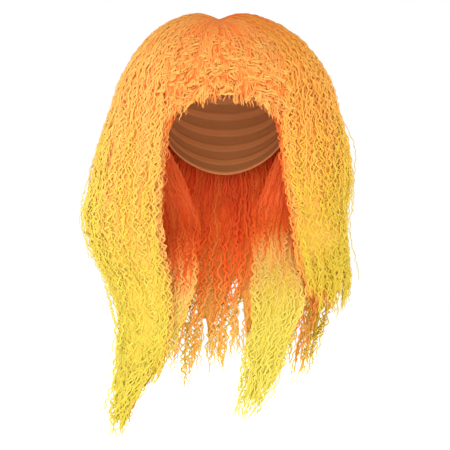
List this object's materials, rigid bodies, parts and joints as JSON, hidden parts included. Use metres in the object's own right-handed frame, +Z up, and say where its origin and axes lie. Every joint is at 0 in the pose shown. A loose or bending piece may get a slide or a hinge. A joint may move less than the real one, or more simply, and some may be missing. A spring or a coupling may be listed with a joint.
{
  "type": "long curly wig",
  "caption": "Long curly wig on a hollow cap, with a full short fringe, side curtains that fall in front of the shoulders, a back curtain, and colour fading from orange roots to yellow tips.",
  "frame": {"origin": "inside of the cap's crown on its middle line, where the top of the head sits", "axes": "+Z up along the head's axis, the face looks along -Y, +X to the right as seen from the front"},
  "size_m": [0.3243, 0.2638, 0.5264],
  "materials": {
    "cap_net": "matte stretch net",
    "fringe_hair": "satin synthetic hair, orange",
    "long_hair": "satin synthetic hair, orange fading to yellow"
  },
  "bodies": {
    "root": {"cap": "cap_net", "fringe": "fringe_hair", "left_hair": "long_hair", "right_hair": "long_hair", "back_hair": "long_hair"}
  },
  "joints": []
}
